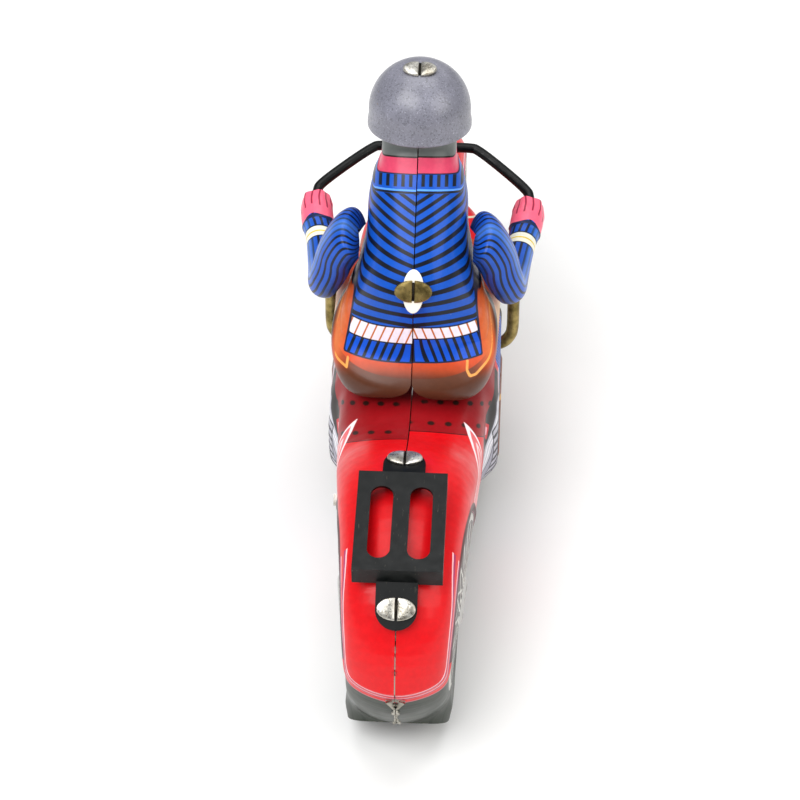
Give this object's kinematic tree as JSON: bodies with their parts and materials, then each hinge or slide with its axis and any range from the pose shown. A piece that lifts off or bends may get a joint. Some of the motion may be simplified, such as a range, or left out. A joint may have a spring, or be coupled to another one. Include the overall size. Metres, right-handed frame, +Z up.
{
  "type": "tin wind-up motorcycle",
  "caption": "Printed tin clockwork motorcycle with a helmeted rider, wire handlebar and crash bar, black luggage rack, swivelling front fork and spring motor.",
  "frame": {"origin": "centre of the outline on the floor under the machine", "axes": "+Y forward along the machine, +X to the rider's right, +Z up"},
  "size_m": [0.059, 0.1884, 0.1194],
  "materials": {
    "litho_red": "gloss",
    "litho_blue": "gloss",
    "litho_helmet": "gloss",
    "black_japan": "gloss",
    "nickel": "polished",
    "dull_brass": "aged",
    "white_enamel": "gloss",
    "olive_brass": "satin",
    "brass": "satin",
    "steel": "satin",
    "spring_steel": "blued",
    "zinc": "satin",
    "rubber": "matt",
    "lens": "gloss"
  },
  "bodies": {
    "body": {"body_shell_left": "litho_red", "body_shell_right": "litho_red", "rider_shell_left": "litho_blue", "rider_shell_right": "litho_blue", "arm_left": "litho_blue", "arm_right": "litho_blue", "helmet": "litho_helmet", "helmet_tab": "nickel", "back_tab": "dull_brass", "back_washer": "white_enamel", "luggage_rack": "black_japan", "rack_front_tab": "nickel", "rack_rear_tab": "nickel", "handlebar": "black_japan", "bar_bracket": "black_japan", "crash_bar": "olive_brass", "headlamp_shell": "nickel", "headlamp_lens": "lens", "steering_plate": "steel", "movement_plate_left": "brass", "movement_plate_right": "brass", "movement_pillars": "steel", "side_studs": "steel", "base_plate": "steel", "mainspring": "spring_steel"},
    "fork": {"fork_left": "litho_red", "fork_right": "litho_red", "fork_crown": "steel", "steering_pin": "steel", "front_axle": "steel"},
    "front_wheel": {"front_wheel": "zinc", "front_tyre": "rubber"},
    "drive_axle": {"rear_axle": "steel", "drive_pinion": "brass", "rear_hub_left": "zinc", "rear_hub_right": "zinc", "rear_tyre_left": "rubber", "rear_tyre_right": "rubber"},
    "second_arbor": {"second_wheel": "brass"},
    "third_arbor": {"third_wheel": "brass"},
    "governor": {"governor": "steel"},
    "great_wheel": {"great_wheel": "brass", "click": "steel", "click_spring": "spring_steel"},
    "winding_arbor": {"winding_arbor": "steel", "ratchet_wheel": "steel"}
  },
  "joints": [
    {"name": "rear_axle_spin", "type": "hinge", "parent": "body", "child": "drive_axle", "pos_m": [0, -0.064, 0.015], "axis": [1, 0, 0], "continuous": true},
    {"name": "second_spin", "type": "hinge", "parent": "body", "child": "second_arbor", "pos_m": [0, -0.05049, 0.0228], "axis": [1, 0, 0], "continuous": true},
    {"name": "great_spin", "type": "hinge", "parent": "body", "child": "great_wheel", "pos_m": [0, -0.03598, 0.0324], "axis": [1, 0, 0], "continuous": true},
    {"name": "third_spin", "type": "hinge", "parent": "body", "child": "third_arbor", "pos_m": [0, -0.05299, 0.03759], "axis": [1, 0, 0], "continuous": true},
    {"name": "governor_spin", "type": "hinge", "parent": "body", "child": "governor", "pos_m": [0, -0.06597, 0.04], "axis": [1, 0, 0], "continuous": true},
    {"name": "arbor_wind", "type": "hinge", "parent": "great_wheel", "child": "winding_arbor", "pos_m": [0, -0.03598, 0.0324], "axis": [1, 0, 0], "range_deg": [0, 2160], "deforming": ["mainspring"]},
    {"name": "steering", "type": "hinge", "parent": "body", "child": "fork", "pos_m": [0, 0.052, 0.059], "axis": [0, -0.4067, 0.9135], "range_deg": [-12, 12]},
    {"name": "front_wheel_spin", "type": "hinge", "parent": "fork", "child": "front_wheel", "pos_m": [0, 0.0665, 0.015], "axis": [1, 0, 0], "continuous": true}
  ],
  "couplings": [
    {"joint": "second_spin", "follows": "rear_axle_spin", "ratio": -0.3},
    {"joint": "great_spin", "follows": "rear_axle_spin", "ratio": 0.0625},
    {"joint": "third_spin", "follows": "rear_axle_spin", "ratio": 1.2},
    {"joint": "governor_spin", "follows": "rear_axle_spin", "ratio": -5.4}
  ]
}
